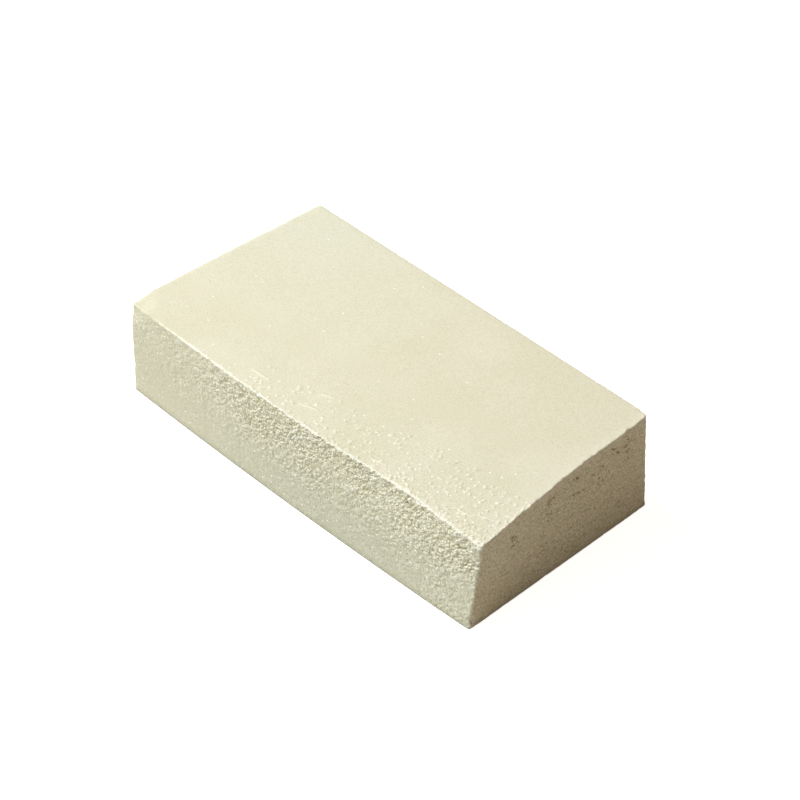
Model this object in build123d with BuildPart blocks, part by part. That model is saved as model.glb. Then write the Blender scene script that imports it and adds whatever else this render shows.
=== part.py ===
from build123d import *
import os

# Gymnastics chalk block: one solid brick of pressed magnesium carbonate, lying on a broad face.
# Millimetres. Origin at the centre of the underside, +X along the length, +Y to the back, +Z up.
# The front long face is at -Y. The end at +X is the worn end, where hands have rubbed the front
# top edge down and back. The end at -X is the fresh end, nearly as it left the press.

# Driving dimensions
length = 101.6
width = 52.3
height = 24.0
edge_radius = 0.5
corner_radius = 1.0

# Sections of the brick at the fresh end, in the middle and at the worn end:
# how far the foot of the front face stands behind the middle of that face,
# how far the front face leans back for each unit of height,
# and how far the front top edge lies below the level back part of the top.
front_bow = (0.8, 0.0, 1.0)
front_lean = (0.02, 0.05, 0.085)
top_drop = (0.5, 1.1, 2.4)

# Both end faces run in towards the back, by their skew. Towards the top the fresh end face
# leans out and the worn end face leans in.
fresh_end_skew = 2.9
fresh_end_overhang = 0.3
worn_end_skew = 1.9
worn_end_lean = 0.3

# Spare material that the underside and the ends are cut from.
spare = 2.0

back = width / 2
front = -width / 2
station_x = (-length / 2 - spare, 0, length / 2 + spare)

fresh_end_foot = Vector(fresh_end_overhang - length / 2, front, 0)
fresh_end_across = Vector(fresh_end_skew, width, 0)
fresh_end_up = Vector(-fresh_end_overhang, 0, height)
fresh_end = Plane(fresh_end_foot, fresh_end_across, fresh_end_up.cross(fresh_end_across))

worn_end_foot = Vector(length / 2, front, 0)
worn_end_across = Vector(-worn_end_skew, width, 0)
worn_end_up = Vector(-worn_end_lean, 0, height)
worn_end = Plane(worn_end_foot, worn_end_across, worn_end_across.cross(worn_end_up))

with BuildPart() as chalk_block:
    for x, bow, lean, drop in zip(station_x, front_bow, front_lean, top_drop):
        foot_y = front + bow
        crease_z = height - drop
        crease = (foot_y + lean * crease_z, crease_z)
        third = (back - crease[0]) / 3
        with BuildSketch(Plane.YZ.offset(x)):
            with BuildLine():
                Polyline(crease, (foot_y - lean * spare, -spare), (back, -spare), (back, height))
                # Level at the back, then falling with the cube of the distance to the crease.
                Bezier((back, height), (back - third, height), (back - 2 * third, height), crease)
            make_face()
    loft()
    split(bisect_by=Plane.XY, keep=Keep.TOP)
    split(bisect_by=fresh_end, keep=Keep.BOTTOM)
    split(bisect_by=worn_end, keep=Keep.BOTTOM)

    # The upright corners knock against things most, so they are rounder than the other edges.
    upright_edges = chalk_block.edges().filter_by(lambda edge: abs(edge.tangent_at(0.5).Z) > 0.7)
    fillet(upright_edges, radius=corner_radius)

    top_face = chalk_block.faces().sort_by(Axis.Z)[-1]
    underside = chalk_block.faces().sort_by(Axis.Z)[0]
    fillet(top_face.edges() + underside.edges(), radius=edge_radius)

chalk_block.part.label = "chalk_block"

os.makedirs("parts", exist_ok=True)
export_step(chalk_block.part, "parts/chalk_block.step")
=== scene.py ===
"""Gymnastics chalk block: a brick of pressed magnesium carbonate, built round the CAD frame."""

import math
import random

import bpy
import numpy as np
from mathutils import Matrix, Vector, noise


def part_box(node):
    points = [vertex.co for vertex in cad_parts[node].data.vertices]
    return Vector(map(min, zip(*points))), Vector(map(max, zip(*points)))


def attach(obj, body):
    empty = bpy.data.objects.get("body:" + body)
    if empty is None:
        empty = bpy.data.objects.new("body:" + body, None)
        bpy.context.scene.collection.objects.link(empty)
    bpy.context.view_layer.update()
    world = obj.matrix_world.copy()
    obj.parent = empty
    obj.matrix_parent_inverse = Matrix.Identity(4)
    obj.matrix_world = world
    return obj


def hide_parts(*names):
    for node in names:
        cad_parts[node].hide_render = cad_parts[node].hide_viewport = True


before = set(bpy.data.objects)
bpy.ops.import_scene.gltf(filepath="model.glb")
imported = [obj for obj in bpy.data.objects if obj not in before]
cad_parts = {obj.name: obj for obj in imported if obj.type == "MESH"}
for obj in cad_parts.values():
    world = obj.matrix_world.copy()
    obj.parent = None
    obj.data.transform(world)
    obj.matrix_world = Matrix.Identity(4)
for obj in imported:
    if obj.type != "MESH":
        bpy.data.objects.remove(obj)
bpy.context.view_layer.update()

# Shapes are worked out in millimetres and written to Blender in metres.
MM = 0.001
LOW, HIGH = (np.array(corner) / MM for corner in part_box("chalk_block"))
LENGTH, WIDTH, HEIGHT = SIZE = HIGH - LOW
CENTRE_X, CENTRE_Y, _ = (LOW + HIGH) / 2

# The block's form, which is the CAD solid's but for the worn end and the edges. Threes of values are for the
# fresh end, the middle and the worn end.
STATION = LENGTH / 2 + 2.0
FRONT_BOW = (0.8, 0.0, 1.0)
FRONT_LEAN = (0.02, 0.05, 0.085)
TOP_DROP = (0.5, 1.1, 2.4)
FRESH_END_SKEW, FRESH_END_OVERHANG = 2.9, 0.3
# The worn end face stands out a little towards its top. It isn't quite flat: its top back and bottom front
# corners are further in by the twist, and the middle of its top by the hollow.
WORN_END_SKEW, WORN_END_LEAN = 1.7, -0.3
WORN_END_TWIST = 0.45
WORN_END_HOLLOW = 0.3
# Where the middle of the hollow is and how wide it is, as shares of the way from front to back.
HOLLOW_MIDDLE, HOLLOW_WIDTH = 0.58, 0.2
# The patch of the front that is worn the most: its depth, its middle along the block, its reach to each side
# of that and its reach down from the top.
WORN_PATCH_DEPTH = 1.0
WORN_PATCH_MIDDLE, WORN_PATCH_REACH, WORN_PATCH_HEIGHT = 27.5, 15.5, 6.5
# How far the worn end's back upright edge is knocked in half way up, and how much that grows per height.
KNOCKED_IN, KNOCKED_RISE = 0.22, 0.36
EDGE_RADIUS = 0.22
CORNER_RADIUS = 0.45

# The mesh is worked out on a fine lattice, then thinned out where it is nearly flat.
SPACING = (0.22, 0.25, 0.22)
# How much closer together the lattice lies towards the worn end, the back and the top. Less than 0 is away.
CROWDING = np.array((0.25, -0.6, 0.3))
MOST_TRIANGLES = 197_000

# The relief's heights and depths in millimetres.
GRAIN_HEIGHT = 0.056
PIT_DEPTH, SHALLOW_PIT_DEPTH = 0.14, 0.12
GOUGE_DEPTH = 0.30
FLAKE_HEIGHT = 0.20
GOUGE_CLUSTERS = 15
# Every so many of the flakes, one is a long thin ridge.
FLAKES, RIDGE_EVERY = 260, 26
# Each crack's height above the middle where it meets the edge, its length and its depth.
CRACKS = ((6.5, 5.2, 0.26), (5.5, 2.6, 0.20))

# The front was scraped upwards at this angle from its length.
SLANT = math.radians(52)

SEED = 11
# Blender's noise_vector would otherwise start from the clock.
noise.seed_set(SEED)

CAMERA_AZIMUTH, CAMERA_ELEVATION = 46.26, 40.5
CAMERA_DISTANCE = 0.6214
CAMERA_LENS = 135.8
# How far the point that the camera faces is from the middle of the block, in millimetres.
AIM_OFFSET = (1.13, 3.21)
STUDIO_SIZE = 12.0


def smoothstep(low, high, value):
    """0 at low, 1 at high, and a smooth change between them. Low may be the larger."""
    t = np.clip((value - low) / (high - low), 0.0, 1.0)
    return t * t * (3 - 2 * t)


def along(values, x):
    """The parabola through three values at the fresh end, the middle and the worn end."""
    start, middle, end = values
    t = x / STATION
    return middle + (end - start) / 2 * t + ((start + end) / 2 - middle) * t * t


# The block's form

def lattice_shell(size, spacing):
    """The points and quads of a box's surface, as a lattice of about the spacing given."""
    counts = [max(2, round(s / gap)) for s, gap in zip(size, spacing)]
    ids = -np.ones([c + 1 for c in counts], int)
    surface = np.ones_like(ids, bool)
    surface[1:-1, 1:-1, 1:-1] = False
    ids[surface] = np.arange(surface.sum())
    points = np.argwhere(surface) / counts
    points += CROWDING * points * (1 - points)
    quads = []
    for axis in range(3):
        for end in (0, -1):
            side = np.take(ids, end, axis)
            corners = [side[:-1, :-1], side[1:, :-1], side[1:, 1:], side[:-1, 1:]]
            if (end == 0) != (axis == 1):
                corners.reverse()
            quads.append(np.stack([c.ravel() for c in corners], 1))
    return (points - 0.5) * size, np.concatenate(quads)


def edge_radius(p):
    """The radius that the edge near each point is rounded to: more on the worn end's front upright edge."""
    upright = smoothstep(3.0, 0.0, LENGTH / 2 - p[:, 0]) * smoothstep(3.0, 0.0, WIDTH / 2 + p[:, 1])
    return EDGE_RADIUS + (CORNER_RADIUS - EDGE_RADIUS) * upright


def rounded(p):
    """Rounds the edges of a box round the origin. Returns the points and the outward directions."""
    half = SIZE / 2
    radius = edge_radius(p)[:, None]
    core = np.clip(p, radius - half, half - radius)
    outward = p - core
    outward /= np.linalg.norm(outward, axis=1)[:, None]
    return core + radius * outward, outward


def worn_form(p):
    """Bends the rounded box into the block: bowed leaning front, fallen front top edge, skewed ends."""
    x, y = p[:, 0], p[:, 1]
    z = p[:, 2] + HEIGHT / 2
    to_front = (WIDTH / 2 - y) / WIDTH
    to_top = z / HEIGHT
    to_back = 1 - to_front
    fresh = FRESH_END_SKEW * to_back + FRESH_END_OVERHANG * (1 - to_top)
    worn = WORN_END_SKEW * to_back + WORN_END_LEAN * to_top
    worn += WORN_END_TWIST * (to_back - to_front) * (2 * to_top - 1)
    worn += WORN_END_HOLLOW * np.exp(-(((to_back - HOLLOW_MIDDLE) / HOLLOW_WIDTH) ** 2)) * to_top
    new_x = x - 2 * x / LENGTH * np.where(x < 0, fresh, worn)
    new_z = z - along(TOP_DROP, new_x) * to_front**3 * to_top
    new_y = y + to_front * (along(FRONT_BOW, new_x) + along(FRONT_LEAN, new_x) * new_z)
    return np.stack([new_x + CENTRE_X, new_y + CENTRE_Y, new_z], 1)


# The relief of each face

def face_weights(outward):
    """How far each point belongs to each face. The weights at a point add up to 1."""
    names = (("fresh_end", "worn_end"), ("front", "back"), ("underside", "top"))
    weights = {}
    for axis, (low, high) in enumerate(names):
        weights[low] = np.maximum(-outward[:, axis], 0.0) ** 2
        weights[high] = np.maximum(outward[:, axis], 0.0) ** 2
    return weights


def field(sample, points):
    """A noise function's value at each point, with its mean brought to 0 and its spread to 1."""
    values = np.array([sample(Vector(point)) for point in points])
    return (values - values.mean()) / values.std()


def noise_shift(seed):
    """Moves noise with this seed to a place of its own."""
    return Vector((seed, 2.0 * seed, 3.0 * seed))


def slanted(point, stretch):
    """Turns and stretches a place so that what is sampled there runs up the long faces at a slant."""
    x, y, z = point
    run, rise = math.cos(SLANT), math.sin(SLANT)
    return Vector(((x * run + z * rise) / stretch, y, z * run - x * rise))


def granules(size, seed):
    """Grains of about the given size, packed side by side, a little longer up the slant than across it."""
    shift = noise_shift(seed)

    def sample(point):
        q = slanted(point / size, 1.5) + shift
        q += 0.25 * noise.noise_vector(q * 0.9)
        distances, middles = noise.voronoi(q)
        tall = 0.75 + 0.25 * noise.cell(middles[0] * 5.3)
        return tall * max(1 - (distances[0] / 0.8) ** 2, 0.0)

    return sample


def ridges(size, seed):
    """Short crooked ridges that run up the long faces at a slant, as a scraped surface has."""
    shift = noise_shift(seed)

    def sample(point):
        q = slanted(point / size, 2.6) + shift
        return -abs(noise.noise(q + 0.4 * noise.noise_vector(q)))

    return sample


def lumps(size, octaves, seed):
    """Soft swells and hollows, with smaller ones on them."""
    shift = noise_shift(seed)

    def sample(point):
        return noise.fractal(point / size + shift, 0.8, 2.0, octaves)

    return sample


def pits(points, gap, radius, seed):
    """1 in the middle of small scattered pits, and 0 between them. The gap is the distance between pits."""
    shift = noise_shift(seed)
    distance = np.array([noise.voronoi(Vector(point) / gap + shift)[0][0] for point in points]) * gap
    return smoothstep(radius, 0.25 * radius, distance)


def oval(across, along_it, turn, long, wide, outer, inner):
    """1 within a turned oval, falling to 0 outside it. Outer and inner are shares of its half axes."""
    run = across * math.cos(turn) + along_it * math.sin(turn)
    rise = along_it * math.cos(turn) - across * math.sin(turn)
    return smoothstep(outer, inner, np.hypot(run / long, rise / wide))


def gouges(p):
    """1 in the middle of the short slanting gouges in the worn end, and 0 outside them."""
    rng = random.Random(SEED + 30)
    depth = np.zeros(len(p))
    on_end = np.flatnonzero(p[:, 0] > LENGTH / 2 - 1.5)
    y, z = p[on_end, 1], p[on_end, 2]
    for _ in range(GOUGE_CLUSTERS):
        cluster_y = rng.uniform(-0.42, 0.44) * WIDTH
        cluster_z = (0.29 + rng.uniform(-0.13, 0.11)) * HEIGHT
        for _ in range(rng.randint(3, 6)):
            middle_y = cluster_y + rng.gauss(0, 0.9)
            middle_z = cluster_z + rng.gauss(0, 0.5)
            turn = math.radians(rng.gauss(-25, 20))
            long, wide = rng.uniform(0.4, 0.9), rng.uniform(0.24, 0.32)
            shape = oval(y - middle_y, z - middle_z, turn, long, wide, 1.0, 0.4)
            depth[on_end] = np.maximum(depth[on_end], shape * rng.uniform(0.5, 1.0))
    return depth


def cracks(p):
    """Two short cracks in the front that rise to its upright edge with the worn end, with raised lips."""
    height = np.zeros(len(p))
    from_edge = LENGTH / 2 - p[:, 0]
    for up, long, depth in CRACKS:
        rise = p[:, 2] - up + 0.6 * from_edge + 0.12 * np.sin(p[:, 0] * 2.9) + 0.1 * np.sin(p[:, 0] * 7.1)
        reach = smoothstep(long, 0.5 * long, from_edge)
        height += reach * (0.09 * np.exp(-((rise / 0.6) ** 2)) - depth * np.exp(-((rise / 0.22) ** 2)))
    return height


def coarseness(p, weights):
    """How coarse the relief is at each point, from 0 to 1: coarsest along the top of the front face."""
    to_worn = p[:, 0] / LENGTH + 0.5
    to_top = p[:, 2] / HEIGHT + 0.5
    front = (0.3 + 0.7 * smoothstep(0.0, 0.5, to_worn)) * (0.24 + 0.76 * smoothstep(0.1, 0.85, to_top))
    front = np.maximum(front, 0.62 * smoothstep(0.7, 1.0, to_worn))
    near_front = smoothstep(-8.0, -26.0, p[:, 1]) * smoothstep(0.35, 0.9, to_worn)
    levels = {
        "front": front, "back": 0.5, "fresh_end": 0.35, "worn_end": 0.22 + 0.12 * to_top,
        "top": 0.04 + 0.12 * near_front, "underside": 0.05,
    }
    worn_smooth = 0.2 * edge_nearness(p, 2, (1, -1), 0.6) + 0.4 * edge_nearness(p, 0, (-1, 1), 0.5)
    return sum(weights[name] * level for name, level in levels.items()) * (1 - np.clip(worn_smooth, 0, 1))


def relief(p, weights):
    """The height of the grains above and below the smooth form, in millimetres, and how coarse they are."""
    coarse = coarseness(p, weights)
    patchy = 1 + 0.14 * field(lumps(9.0, 2, SEED + 5), p)
    coarse *= np.clip(patchy, 0.7, 1.4)
    grains = 0.8 * field(granules(0.9, SEED), p) + 0.7 * field(granules(0.58, SEED + 1), p)
    scraped = 0.3 * field(ridges(0.9, SEED + 2), p)
    fine = 0.45 * field(lumps(0.45, 1, SEED + 4), p)
    height = GRAIN_HEIGHT * coarse * (grains + scraped + fine)
    # Small pits, most of them in the upper half of the worn end.
    upper = smoothstep(0.2, 0.7, p[:, 2] / HEIGHT + 0.5)
    height -= PIT_DEPTH * pits(p, 2.2, 0.34, SEED + 6) * weights["worn_end"] * upper
    height -= SHALLOW_PIT_DEPTH * pits(p, 4.2, 0.35, SEED + 7) * (weights["fresh_end"] + weights["back"])
    height -= PIT_DEPTH * pits(p, 6.0, 0.30, SEED + 8) * (weights["top"] + weights["underside"])
    height -= GOUGE_DEPTH * gouges(p) * weights["worn_end"]
    height += cracks(p) * weights["front"]
    return height, coarse


# Edge wear, marks, and painted highlight and shade

def edge_point(across, sides, place):
    """A point on one of the box's twelve edges, its place along the edge from -1 to 1."""
    point = SIZE / 2 * place
    fixed = [axis for axis in range(3) if axis != across]
    for axis, side in zip(fixed, sides):
        point[axis] = side * SIZE[axis] / 2
    return point


def scatter_chips():
    """Chips knocked out of the edges, each one a centre, a direction inwards, a radius and a depth."""
    rng = random.Random(SEED)
    # axis that the edge runs along, sides of the other two axes, number, largest radius, largest depth
    rows = [
        (0, (-1, 1), 40, 0.6, 0.12),
        (0, (1, 1), 12, 0.8, 0.14),
        (1, (1, 1), 34, 0.6, 0.15),
        (1, (-1, 1), 9, 0.9, 0.16),
        (2, (1, -1), 12, 0.7, 0.14),
        (2, (1, 1), 4, 0.6, 0.08),
        (2, (-1, -1), 4, 1.0, 0.16),
        (2, (-1, 1), 5, 1.2, 0.24),
        (0, (-1, -1), 8, 0.6, 0.08),
        (0, (1, -1), 12, 0.9, 0.18),
        (1, (1, -1), 6, 0.7, 0.10),
        (1, (-1, -1), 8, 0.9, 0.18),
    ]
    chips = []
    for across, sides, number, radius, depth in rows:
        inward = np.sign(-edge_point(across, sides, 0.0)) / math.sqrt(2)
        for _ in range(number):
            size = rng.uniform(0.35, 1.0)
            centre = edge_point(across, sides, rng.uniform(-1, 1))
            chips.append((centre, inward, radius * size, depth * size * rng.uniform(0.6, 1.0)))
    # The one large chip, at the foot of the upright edge between the front and the worn end.
    foot = np.array([LENGTH / 2, -WIDTH / 2, 2.7 - HEIGHT / 2])
    chips.append((foot, np.array([-1.0, 0.3, 0.0]), 1.5, 0.4))
    # The top front corner at the fresh end is knocked round.
    corner = np.array([-LENGTH / 2, -WIDTH / 2, HEIGHT / 2])
    chips.append((corner, np.array([0.6, 0.6, -0.6]), 6.0, 0.55))
    return chips


def chip_edges(p):
    """How far each point is pushed inwards by the chips."""
    push = np.zeros_like(p)
    for centre, inward, radius, depth in scatter_chips():
        near = np.flatnonzero(np.abs(p - centre).max(axis=1) < radius)
        distance = np.linalg.norm(p[near] - centre, axis=1)
        push[near] += inward * (depth * smoothstep(radius, 0.3 * radius, distance))[:, None]
    return push


def edge_nearness(p, across, sides, reach):
    """1 on one of the box's edges, falling to 0 a few times the reach away from it."""
    fixed = [axis for axis in range(3) if axis != across]
    gaps = [side * SIZE[axis] / 2 - p[:, axis] for axis, side in zip(fixed, sides)]
    return np.exp(-(gaps[0] ** 2 + gaps[1] ** 2) / reach**2)


def worn_patch(p):
    """How far the front is pushed in below its top edge where that is worn the most, in millimetres."""
    middle = np.exp(-(((p[:, 0] - WORN_PATCH_MIDDLE) / WORN_PATCH_REACH) ** 2))
    from_top, from_front = HEIGHT / 2 - p[:, 2], WIDTH / 2 + p[:, 1]
    high = np.exp(-((from_top / WORN_PATCH_HEIGHT) ** 2))
    return WORN_PATCH_DEPTH * middle * high * smoothstep(5.0, 0.0, from_front)


def edge_waver(p):
    """Unevenness along the edges that show most, as a push in millimetres."""
    slow, quick = field(lumps(2.4, 2, SEED + 10), p), field(lumps(0.8, 1, SEED + 13), p)
    crease = 0.03 * edge_nearness(p, 0, (-1, 1), 1.2) * slow
    crease += 0.05 * edge_nearness(p, 0, (-1, 1), 0.5) * quick
    upright = 0.03 * edge_nearness(p, 2, (1, -1), 1.6) * slow
    upright += 0.06 * edge_nearness(p, 2, (1, -1), 0.7) * quick
    end_top = 0.035 * edge_nearness(p, 1, (1, 1), 0.8) * quick
    knocked = -edge_nearness(p, 2, (1, 1), 1.3) * (KNOCKED_IN + KNOCKED_RISE * p[:, 2] / HEIGHT)
    push_x = upright + end_top + knocked
    return np.stack([push_x, crease + upright + knocked + worn_patch(p), crease + end_top], 1)


def flakes(p, weights):
    """Small flakes and thin scraped ridges that stand on the top, most of them near its worn front corner.
    Returns how much of each point they cover, from 0 to 1."""
    rng = random.Random(SEED + 20)
    cover = np.zeros(len(p))
    for number in range(FLAKES):
        to_worn = 1 - 0.66 * rng.random() ** 1.8
        x = (to_worn - 0.5) * LENGTH
        y = 0.3 - WIDTH / 2 + (2.0 + 15.0 * to_worn) * rng.random() ** 1.6
        ridge = number % RIDGE_EVERY == 0
        long = rng.uniform(1.5, 3.0) if ridge else rng.uniform(0.18, 0.36)
        turn = math.radians(rng.gauss(12, 6) if ridge else rng.gauss(10, 35))
        wide = rng.uniform(0.15, 0.22)
        amount = rng.uniform(0.55, 1.0)
        near = np.flatnonzero((abs(p[:, 0] - x) < 3.5) & (abs(p[:, 1] - y) < 1.5) & (weights["top"] > 0.5))
        shape = oval(p[near, 0] - x, p[near, 1] - y, turn, long, wide, 1.25, 0.7)
        cover[near] = np.maximum(cover[near], amount * shape)
    return cover


def pores(p, weights):
    """How strongly the fine pores of the chalk show at each point, from 0 to 1."""
    near_front = smoothstep(-8.0, -26.0, p[:, 1]) * smoothstep(0.2, 0.8, p[:, 0] / LENGTH + 0.5)
    levels = {
        "worn_end": 1.0, "fresh_end": 0.8, "front": 0.4, "back": 0.5,
        "top": 0.22 + 0.12 * near_front, "underside": 0.25,
    }
    return sum(weights[name] * level for name, level in levels.items())


def dust(p, weights):
    """How many white flecks lie at each point, from 0 to 1: most by the worn front corner of the top."""
    to_worn = p[:, 0] / LENGTH + 0.5
    on_top = smoothstep(-4.0, -24.0, p[:, 1]) * smoothstep(0.35, 0.85, to_worn)
    on_top = np.maximum(on_top, 0.5 * edge_nearness(p, 0, (-1, 1), 3.0) * smoothstep(0.1, 0.4, to_worn))
    levels = {
        "worn_end": 0.1, "fresh_end": 0.1, "front": 0.35, "back": 0.25,
        "top": 0.03 + 0.97 * on_top, "underside": 0.15,
    }
    return sum(weights[name] * level for name, level in levels.items())


def powder_and_painted_highlight(p, weights, height):
    """How much white lies at each point, from 0 to 1: partly loose white chalk and partly painted highlight,
    on the edges and on the high grains.
    """
    broken = 0.65 + 0.4 * field(lumps(1.0, 2, SEED + 12), p)
    to_worn = p[:, 0] / LENGTH + 0.5
    crease = edge_nearness(p, 0, (-1, 1), 1.3) * smoothstep(0.55, 0.85, to_worn)
    others = sum(edge_nearness(p, 0, sides, 0.5) for sides in ((1, 1), (1, -1)))
    others += sum(edge_nearness(p, 1, sides, 0.6) for sides in ((1, 1), (-1, 1), (-1, -1)))
    others += sum(edge_nearness(p, 2, sides, 0.4) for sides in ((1, -1), (1, 1), (-1, -1), (-1, 1)))
    end_top = edge_nearness(p, 1, (1, 1), 1.5)
    high = smoothstep(0.0, 0.08, height) * weights["front"]
    edges = 0.25 * crease + 0.25 * others + 0.3 * end_top
    return np.clip(broken * (edges + 0.85 * high), 0.0, 1.0)


def rim_distance(p):
    """Each point's distance from the front top edge, as a share of how far the white rim reaches there."""
    to_worn = p[:, 0] / LENGTH + 0.5
    reach = 0.24 * smoothstep(0.02, 0.20, to_worn) + 0.02
    reach += 0.30 * smoothstep(0.74, 0.80, to_worn) * smoothstep(0.90, 0.84, to_worn)
    distance = np.hypot(p[:, 1] + WIDTH / 2, HEIGHT / 2 - p[:, 2])
    return np.minimum(distance / reach, 4.0)


def shade(p, weights):
    """How much painted shade lies on the lower middle of the front, from 0 to 1: a slightly deeper, greyer
    tone.
    """
    x, z = p[:, 0] / LENGTH, p[:, 2] / HEIGHT
    return weights["front"] * np.exp(-(((x - 0.08) / 0.36) ** 2)) * smoothstep(0.35, -0.2, z)


def painted_cooler_light(p, weights):
    """How much painted cooler light there is, from 0 to 1: a painted sheen on the top's back fresh corner,
    and painted light on the worn end's top front corner and all along its top edge."""
    on_top = weights["top"] * smoothstep(10.0, -45.0, p[:, 0]) * smoothstep(-15.0, 20.0, p[:, 1])
    on_corner = smoothstep(22.0, -15.0, p[:, 1]) * smoothstep(-6.0, 8.0, p[:, 2])
    on_edge = smoothstep(3.0, 0.8, HEIGHT / 2 - p[:, 2])
    return on_top + weights["worn_end"] * np.maximum(on_corner, on_edge)


# The mesh

def make_mesh(name, points, quads):
    mesh = bpy.data.meshes.new(name)
    mesh.from_pydata((points * MM).tolist(), [], quads.tolist())
    mesh.update()
    mesh.shade_smooth()
    return mesh


def smooth_normals(points, quads):
    """The outward direction at each point of the form that these points and quads make."""
    mesh = make_mesh("smooth_form", points, quads)
    normals = np.zeros(len(points) * 3)
    mesh.vertices.foreach_get("normal", normals)
    bpy.data.meshes.remove(mesh)
    return normals.reshape(-1, 3)


def set_attribute(mesh, name, values):
    mesh.attributes.new(name, "FLOAT", "POINT").data.foreach_set("value", values.astype(np.float32))


def thinned(mesh, most_triangles):
    """A copy of the mesh with few triangles where it is nearly flat, and no more of them than asked for."""
    holder = bpy.data.objects.new("thinning", mesh)
    bpy.context.scene.collection.objects.link(holder)
    decimate = holder.modifiers.new("thin", "DECIMATE")
    decimate.ratio = most_triangles / (2 * len(mesh.polygons))
    decimate.use_collapse_triangulate = True
    result = bpy.data.meshes.new_from_object(holder.evaluated_get(bpy.context.evaluated_depsgraph_get()))
    bpy.data.objects.remove(holder)
    bpy.data.meshes.remove(mesh)
    return result


def make_block():
    """The whole block as one closed mesh, with the values that its material reads kept on its points."""
    box, quads = lattice_shell(SIZE, SPACING)
    p, outward = rounded(box)
    weights = face_weights(outward)
    form = worn_form(p + edge_waver(p) + chip_edges(p))
    normals = smooth_normals(form, quads)
    height, coarse = relief(p, weights)
    flaked = flakes(p, weights)
    grained = form + normals * (height + FLAKE_HEIGHT * flaked)[:, None]
    grained[:, 2] = np.maximum(grained[:, 2], 0.0)

    mesh = make_mesh("grained_form", grained, quads)
    set_attribute(mesh, "grain", np.clip(coarse, 0.0, 1.0))
    set_attribute(mesh, "pores", pores(p, weights))
    set_attribute(mesh, "dust", dust(p, weights))
    # Loose white chalk and painted highlight on the edges and the high grains.
    set_attribute(mesh, "powder_and_highlight", np.maximum(powder_and_painted_highlight(p, weights, height), flaked))
    set_attribute(mesh, "height", height)
    set_attribute(mesh, "rim", rim_distance(p))
    # Painted shade on the lower middle of the front.
    set_attribute(mesh, "shade", shade(p, weights))
    # Painted sheen and painted light in a cooler white.
    set_attribute(mesh, "cooler_light", painted_cooler_light(p, weights))
    mesh = thinned(mesh, MOST_TRIANGLES)
    mesh.name = "pressed_block"
    block = bpy.data.objects.new("pressed_block", mesh)
    bpy.context.scene.collection.objects.link(block)
    return block


# Materials

class Nodes:
    """Adds nodes to a material's tree. An input is given as a number, a colour or another node's output."""

    def __init__(self, material):
        self.tree = material.node_tree

    def connect(self, socket, value):
        if isinstance(value, bpy.types.NodeSocket):
            self.tree.links.new(value, socket)
        else:
            socket.default_value = value

    def add(self, kind, inputs=(), **settings):
        made = self.tree.nodes.new("ShaderNode" + kind)
        for name, value in settings.items():
            setattr(made, name, value)
        for name, value in dict(inputs).items():
            self.connect(made.inputs[name], value)
        return made

    def noise(self, position, size, detail=2.0, roughness=0.5):
        """Noise whose features are about the given size in millimetres."""
        return self.add("TexNoise", {
            "Vector": position, "Scale": 1 / size, "Detail": detail, "Roughness": roughness,
        }).outputs["Fac"]

    def range(self, value, low, high, to_low, to_high):
        return self.add("MapRange", {
            "Value": value, "From Min": low, "From Max": high, "To Min": to_low, "To Max": to_high,
        }).outputs["Result"]

    def maths(self, operation, first, second):
        made = self.add("Math", operation=operation)
        self.connect(made.inputs[0], first)
        self.connect(made.inputs[1], second)
        return made.outputs[0]

    def mix(self, factor, first, second):
        made = self.add("Mix", data_type="RGBA", clamp_factor=True)
        self.connect(made.inputs["Factor"], factor)
        self.connect(made.inputs["A"], first)
        self.connect(made.inputs["B"], second)
        return made.outputs["Result"]

    def attribute(self, name):
        return self.add("Attribute", attribute_name=name).outputs["Fac"]

    def bump(self, height, distance, strength, normal=None):
        """A bump whose full height is the distance in millimetres."""
        made = self.add("Bump", {"Height": height, "Distance": distance * MM, "Strength": strength})
        if normal:
            self.connect(made.inputs["Normal"], normal)
        return made.outputs["Normal"]


# The chalk's colours: its own whites, what lies loose on it, painted highlights and painted cooler light,
# painted shade on the lower front, in its hollows and pores, and the painted contact shadow at its foot.
CREAM = (0.735, 0.725, 0.552, 1.0)
PALE = (0.775, 0.758, 0.60, 1.0)
WARM = (0.71, 0.69, 0.505, 1.0)
POWDER_AND_HIGHLIGHT = (0.91, 0.89, 0.75, 1.0)
CRUMB_POWDER_AND_HIGHLIGHT = (0.93, 0.90, 0.60, 1.0)
FLECK = (0.97, 0.96, 0.86, 1.0)
RIM_POWDER_AND_HIGHLIGHT = (0.92, 0.905, 0.76, 1.0)
PAINTED_COOLER_LIGHT = (0.73, 0.742, 0.585, 1.0)
SHADE = (0.65, 0.655, 0.51, 1.0)
HOLLOW_SHADE = (0.61, 0.57, 0.375, 1.0)
PORE_SHADE = (0.44, 0.41, 0.27, 1.0)
DEEP_SHADE = (0.27, 0.245, 0.16, 1.0)
FOOT_SHADOW = (0.33, 0.31, 0.23, 1.0)


def chalk_position(nodes):
    """Places on the block in millimetres."""
    coordinates = nodes.add("TexCoord").outputs["Object"]
    return nodes.add("Mapping", {"Vector": coordinates, "Scale": (1 / MM,) * 3}).outputs["Vector"]


def crumb_height(nodes, position):
    """Crumbs about half a millimetre across, from 0 between them to 1 on top."""
    cells = nodes.add("TexVoronoi", {"Vector": position, "Scale": 1 / 0.5}, feature="F1")
    return nodes.range(cells.outputs["Distance"], 0.75, 0.12, 0.0, 1.0)


def cloudy_cream(nodes, position):
    """Warm white with cloudy patches, with a painted sheen and painted light in a cooler white in places,
    and painted shade on the lower middle of the front.
    """
    clouds = nodes.range(nodes.noise(position, 14.0, 3.0), 0.35, 0.65, 0.0, 1.0)
    colour = nodes.mix(0.5, nodes.mix(clouds, WARM, PALE), CREAM)
    # Painted sheen and painted light in a cooler white.
    colour = nodes.mix(nodes.attribute("cooler_light"), colour, PAINTED_COOLER_LIGHT)
    # Painted shade on the lower middle of the front.
    return nodes.mix(nodes.attribute("shade"), colour, SHADE)


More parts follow.
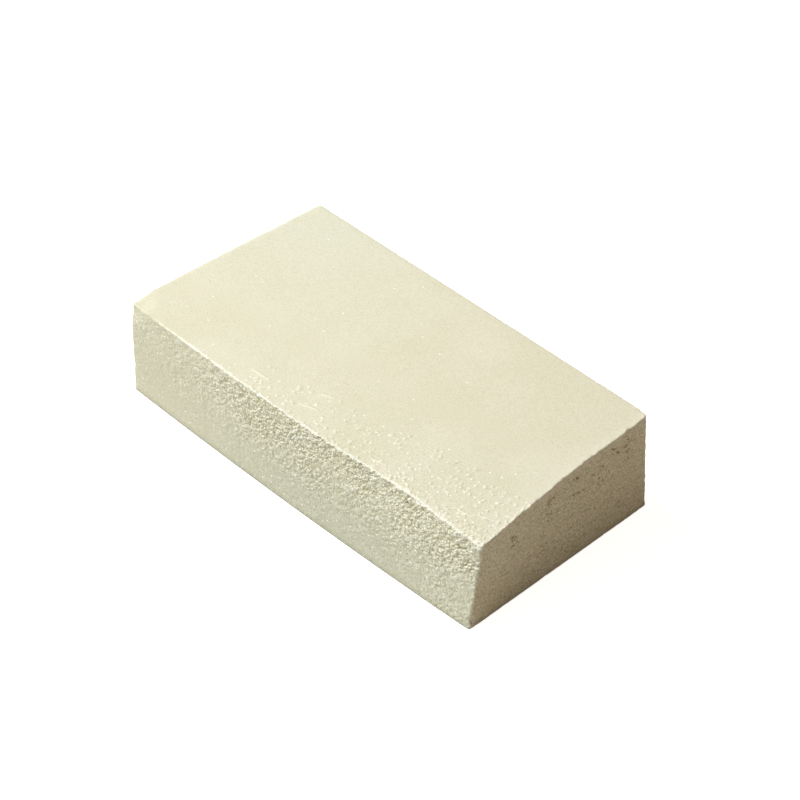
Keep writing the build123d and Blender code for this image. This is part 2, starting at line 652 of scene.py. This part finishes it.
def add_specks(nodes, colour, position, pore):
    """Painted shade in the fine pores, pale specks, and darker streaks along the ends, where the pores are
    strongest.
    """
    speckle = nodes.noise(position, 0.36, 3.0, 0.75)
    dark = nodes.maths("MULTIPLY", nodes.range(speckle, 0.50, 0.36, 0.0, 1.0), pore)
    light = nodes.maths("MULTIPLY", nodes.range(speckle, 0.50, 0.64, 0.0, 1.0), pore)
    colour = nodes.mix(light, nodes.mix(dark, colour, PORE_SHADE), POWDER_AND_HIGHLIGHT)
    drawn_out = nodes.add("Mapping", {"Vector": position, "Scale": (1.0, 0.22, 1.0)}).outputs["Vector"]
    streak = nodes.range(nodes.noise(drawn_out, 0.45, 2.0, 0.6), 0.48, 0.30, 0.0, 0.6)
    on_end = nodes.range(pore, 0.85, 1.0, 0.0, 1.0)
    return nodes.mix(nodes.maths("MULTIPLY", streak, on_end), colour, PORE_SHADE)


def spots(nodes, position):
    """Scattered spots 0.4 mm across, from 0 to 1, and a number for each of them between 0 and 1."""
    drawn_out = nodes.add("Mapping", {"Vector": position, "Scale": (0.7, 1.0, 1.0)}).outputs["Vector"]
    cells = nodes.add("TexVoronoi", {"Vector": drawn_out, "Scale": 1 / 0.9}, feature="F1")
    number = nodes.add("SeparateColor", {"Color": cells.outputs["Color"]}).outputs["Red"]
    return nodes.range(cells.outputs["Distance"], 0.25, 0.17, 0.0, 1.0), number


def fleck_height(nodes, position):
    """1 on the tiny white flecks, and 0 between them."""
    spot, number = spots(nodes, position)
    there = nodes.maths("LESS_THAN", number, nodes.maths("MULTIPLY", nodes.attribute("dust"), 0.75))
    return nodes.maths("MULTIPLY", spot, there)


def add_painted_pinholes(nodes, colour, position, pore):
    """Painted shade of tiny holes where the pores are strong, mostly in the ends."""
    spot, number = spots(nodes, position)
    there = nodes.maths("GREATER_THAN", number, nodes.range(pore, 0.4, 1.0, 1.0, 0.62))
    return nodes.mix(nodes.maths("MULTIPLY", nodes.maths("MULTIPLY", spot, there), 0.65), colour, DEEP_SHADE)


def add_grain(nodes, colour, crumbs, grain):
    """Painted shade in the gaps between the crumbs, loose white chalk and painted highlight on top of them,
    and painted shade in the hollows between the grains.
    """
    gaps = nodes.maths("MULTIPLY", nodes.range(crumbs, 0.35, 0.05, 0.0, 0.55), grain)
    cap_highlight = nodes.maths("MULTIPLY", nodes.range(crumbs, 0.50, 0.90, 0.0, 1.0), grain)
    colour = nodes.mix(cap_highlight, nodes.mix(gaps, colour, PORE_SHADE), CRUMB_POWDER_AND_HIGHLIGHT)
    height = nodes.attribute("height")
    # Painted shade in the hollows, darkest in the deepest ones.
    colour = nodes.mix(nodes.range(height, -0.03, -0.11, 0.0, 0.5), colour, HOLLOW_SHADE)
    return nodes.mix(nodes.range(height, -0.12, -0.22, 0.0, 0.9), colour, DEEP_SHADE)


def add_rim_powder_and_highlight(nodes, colour, position):
    """A thin ragged white line along the front top edge: partly loose white chalk and partly painted
    highlight.
    """
    ragged = nodes.range(nodes.noise(position, 0.5, 3.0, 0.7), 0.25, 0.75, -1.2, 1.2)
    uneven = nodes.range(nodes.noise(position, 2.2, 1.0), 0.3, 0.7, -0.4, 0.7)
    distance = nodes.maths("ADD", nodes.attribute("rim"), nodes.maths("ADD", ragged, uneven))
    return nodes.mix(nodes.range(distance, 1.6, 0.8, 0.0, 1.0), colour, RIM_POWDER_AND_HIGHLIGHT)


def add_painted_foot_shadow(nodes, colour, position):
    """A painted contact shadow: a darker tone along the edges that the block stands on."""
    height = nodes.add("SeparateXYZ", {"Vector": position}).outputs["Z"]
    # Darker towards the bottom, as painted contact shadow.
    low = nodes.maths("POWER", nodes.range(height, 3.0, 0.0, 0.0, 1.0), 3.0)
    return nodes.mix(nodes.maths("MULTIPLY", low, 0.65), colour, FOOT_SHADOW)


def chalk_colour(nodes, position, crumbs, flecks, grain, pore):
    colour = cloudy_cream(nodes, position)
    colour = add_specks(nodes, colour, position, pore)
    colour = add_grain(nodes, colour, crumbs, grain)
    colour = add_painted_pinholes(nodes, colour, position, pore)
    # Loose white chalk and painted highlight on the edges and the high grains.
    colour = nodes.mix(nodes.attribute("powder_and_highlight"), colour, POWDER_AND_HIGHLIGHT)
    colour = nodes.mix(flecks, colour, FLECK)
    colour = add_rim_powder_and_highlight(nodes, colour, position)
    return add_painted_foot_shadow(nodes, colour, position)


def chalk_bump(nodes, position, crumbs, flecks, grain, pore):
    """Grain too fine for the mesh, stronger where the relief is coarse."""
    sand = nodes.noise(position, 0.32, 3.0, 0.65)
    soft = nodes.bump(crumbs, 0.12, grain)
    sandy = nodes.bump(sand, 0.15, pore, soft)
    return nodes.bump(flecks, 0.06, 0.6, sandy)


def chalk_material():
    material = bpy.data.materials.new("chalk")
    material.use_nodes = True
    nodes = Nodes(material)
    shader = material.node_tree.nodes["Principled BSDF"]
    position = chalk_position(nodes)
    grain = nodes.attribute("grain")
    pore = nodes.attribute("pores")
    crumbs = crumb_height(nodes, position)
    flecks = fleck_height(nodes, position)
    colour = chalk_colour(nodes, position, crumbs, flecks, grain, pore)
    nodes.connect(shader.inputs["Base Color"], colour)
    smear = nodes.noise(position, 5.0, 3.0)
    nodes.connect(shader.inputs["Roughness"], nodes.range(smear, 0.3, 0.7, 0.82, 1.0))
    nodes.connect(shader.inputs["Normal"], chalk_bump(nodes, position, crumbs, flecks, grain, pore))
    shader.inputs["Specular IOR Level"].default_value = 0.2
    return material


def plain_material(name, colour, glow=0.0):
    material = bpy.data.materials.new(name)
    material.use_nodes = True
    shader = material.node_tree.nodes["Principled BSDF"]
    shader.inputs["Base Color"].default_value = (*colour, 1.0)
    shader.inputs["Roughness"].default_value = 1.0
    shader.inputs["Specular IOR Level"].default_value = 0.0
    shader.inputs["Emission Color"].default_value = (*colour, 1.0)
    shader.inputs["Emission Strength"].default_value = glow
    return material


# The studio

def add_plane(name, size, material, height=0.0):
    half = size / 2
    corners = [(-half, -half, height), (half, -half, height), (half, half, height), (-half, half, height)]
    mesh = bpy.data.meshes.new(name)
    mesh.from_pydata(corners, [], [(0, 1, 2, 3)])
    plane = bpy.data.objects.new(name, mesh)
    plane.data.materials.append(material)
    bpy.context.scene.collection.objects.link(plane)
    return plane


def direction(azimuth, elevation):
    """Points from the block towards a light or the camera. Azimuth 0 is in front of the block."""
    a, e = math.radians(azimuth), math.radians(elevation)
    return Vector((math.sin(a) * math.cos(e), -math.cos(a) * math.cos(e), math.sin(e)))


def add_area_light(name, azimuth, elevation, distance, size, power, colour):
    """A square soft box that faces the middle of the block."""
    out = direction(azimuth, elevation)
    light = bpy.data.lights.new(name, "AREA")
    light.size = size
    light.energy = power
    light.color = colour
    lamp = bpy.data.objects.new(name, light)
    lamp.location = out * distance
    lamp.rotation_mode = "QUATERNION"
    lamp.rotation_quaternion = out.to_track_quat("Z", "Y")
    bpy.context.scene.collection.objects.link(lamp)
    return lamp


def add_camera():
    back = direction(CAMERA_AZIMUTH, CAMERA_ELEVATION)
    aim = Vector((CENTRE_X + AIM_OFFSET[0], CENTRE_Y + AIM_OFFSET[1], HEIGHT / 2)) * MM
    data = bpy.data.cameras.new("camera")
    data.sensor_width = 36
    data.lens = CAMERA_LENS
    camera = bpy.data.objects.new("camera", data)
    camera.location = aim + back * CAMERA_DISTANCE
    camera.rotation_mode = "QUATERNION"
    camera.rotation_quaternion = (-back).to_track_quat("-Z", "Y")
    bpy.context.scene.collection.objects.link(camera)
    bpy.context.scene.camera = camera


def set_world(colour, strength):
    world = bpy.data.worlds.new("studio")
    world.use_nodes = True
    background = world.node_tree.nodes["Background"]
    background.inputs["Color"].default_value = (*colour, 1.0)
    background.inputs["Strength"].default_value = strength
    bpy.context.scene.world = world


def set_studio():
    """A white floor for the camera, a warm one just below it that throws light back, and two soft lights."""
    white = plain_material("floor_white", (0.93, 0.93, 0.93), 0.90)
    floor = add_plane("studio_floor", STUDIO_SIZE, white)
    floor.visible_diffuse = False
    floor.visible_shadow = False
    warm = plain_material("bounce_warm", (0.67, 0.585, 0.49))
    bounce = add_plane("studio_bounce", STUDIO_SIZE, warm, -0.0002)
    bounce.visible_camera = False
    set_world((1.0, 0.79, 0.60), 0.256)
    add_area_light("key", -64, 52, 1.3, 0.5, 19.0, (0.974, 0.976, 1.0))
    add_area_light("fill", -10, 15, 1.5, 0.8, 4.3, (0.29, 0.72, 0.97))
    view = bpy.context.scene.view_settings
    view.view_transform = "Standard"
    view.look = "None"


block = make_block()
block.data.materials.append(chalk_material())
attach(block, "root")
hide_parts("chalk_block")

set_studio()
add_camera()
